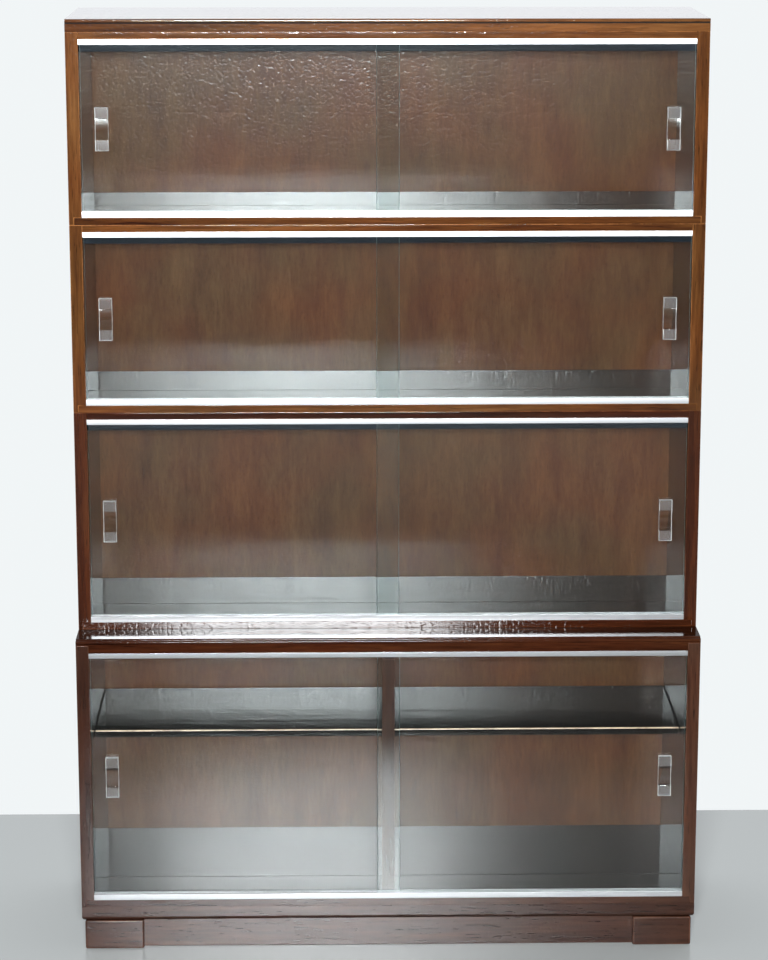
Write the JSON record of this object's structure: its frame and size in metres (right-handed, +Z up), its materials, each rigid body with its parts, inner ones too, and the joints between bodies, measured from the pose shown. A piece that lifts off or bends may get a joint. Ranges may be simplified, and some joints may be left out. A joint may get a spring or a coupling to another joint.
{
  "type": "sectional bookcase",
  "caption": "Stacking sectional bookcase with sliding glass doors: shallow upper units on a deeper bottom unit with a ledge, a shelf and a plinth.",
  "frame": {"origin": "middle of the footprint, on the floor", "axes": "+Z up, the glass doors face -Y, +X to the right as seen from the front"},
  "size_m": [0.889, 0.3042, 1.3345],
  "materials": {
    "mahogany": "French-polished red-brown mahogany, gloss",
    "dark_mahogany": "darker polished mahogany, satin",
    "inside_mahogany": "lacquered dark mahogany, gloss with a pebbled surface",
    "back_ply": "mahogany-faced plywood, grain upright, lacquered",
    "door_glass": "clear drawn glass with ground edges",
    "pull_glass": "clear moulded glass, polished",
    "aluminium": "drawn aluminium, bright satin",
    "brass": "turned brass",
    "steel": "plain steel screws"
  },
  "bodies": {
    "carcass": {"cap_board": "mahogany", "top_left_side": "mahogany", "top_right_side": "mahogany", "top_floor_front": "mahogany", "top_floor_panel": "inside_mahogany", "top_back_panel": "back_ply", "top_top_track": "aluminium", "top_bottom_track": "aluminium", "second_left_side": "mahogany", "second_right_side": "mahogany", "second_floor_front": "mahogany", "second_floor_panel": "inside_mahogany", "second_back_panel": "back_ply", "second_top_track": "aluminium", "second_bottom_track": "aluminium", "third_left_side": "mahogany", "third_right_side": "mahogany", "third_floor_front": "mahogany", "third_floor_panel": "inside_mahogany", "third_back_panel": "back_ply", "third_top_track": "aluminium", "third_bottom_track": "aluminium", "bottom_left_side": "mahogany", "bottom_right_side": "mahogany", "bottom_floor_front": "mahogany", "bottom_floor_panel": "inside_mahogany", "bottom_back_panel": "back_ply", "bottom_top_track": "aluminium", "bottom_bottom_track": "aluminium", "top_rail": "mahogany", "second_rail": "mahogany", "third_rail": "mahogany", "ledge_board": "mahogany", "centre_post": "dark_mahogany", "shelf": "inside_mahogany", "base_board": "dark_mahogany", "plinth_front": "dark_mahogany", "plinth_left": "dark_mahogany", "plinth_right": "dark_mahogany", "plinth_back": "dark_mahogany", "left_foot": "dark_mahogany", "right_foot": "dark_mahogany", "brass_pegs": "brass", "back_screws": "steel"},
    "top_left_door": {"top_left_pane": "door_glass", "top_left_pull": "pull_glass"},
    "top_right_door": {"top_right_pane": "door_glass", "top_right_pull": "pull_glass"},
    "second_left_door": {"second_left_pane": "door_glass", "second_left_pull": "pull_glass"},
    "second_right_door": {"second_right_pane": "door_glass", "second_right_pull": "pull_glass"},
    "third_left_door": {"third_left_pane": "door_glass", "third_left_pull": "pull_glass"},
    "third_right_door": {"third_right_pane": "door_glass", "third_right_pull": "pull_glass"},
    "bottom_left_door": {"bottom_left_pane": "door_glass", "bottom_left_pull": "pull_glass"},
    "bottom_right_door": {"bottom_right_pane": "door_glass", "bottom_right_pull": "pull_glass"}
  },
  "joints": [
    {"name": "top_left_slide", "type": "slide", "parent": "carcass", "child": "top_left_door", "axis": [1, 0, 0], "range_m": [0, 0.37]},
    {"name": "top_right_slide", "type": "slide", "parent": "carcass", "child": "top_right_door", "axis": [1, 0, 0], "range_m": [-0.37, 0]},
    {"name": "second_left_slide", "type": "slide", "parent": "carcass", "child": "second_left_door", "axis": [1, 0, 0], "range_m": [0, 0.37]},
    {"name": "second_right_slide", "type": "slide", "parent": "carcass", "child": "second_right_door", "axis": [1, 0, 0], "range_m": [-0.37, 0]},
    {"name": "third_left_slide", "type": "slide", "parent": "carcass", "child": "third_left_door", "axis": [1, 0, 0], "range_m": [0, 0.37]},
    {"name": "third_right_slide", "type": "slide", "parent": "carcass", "child": "third_right_door", "axis": [1, 0, 0], "range_m": [-0.37, 0]},
    {"name": "bottom_left_slide", "type": "slide", "parent": "carcass", "child": "bottom_left_door", "axis": [1, 0, 0], "range_m": [0, 0.37]},
    {"name": "bottom_right_slide", "type": "slide", "parent": "carcass", "child": "bottom_right_door", "axis": [1, 0, 0], "range_m": [-0.37, 0]}
  ]
}
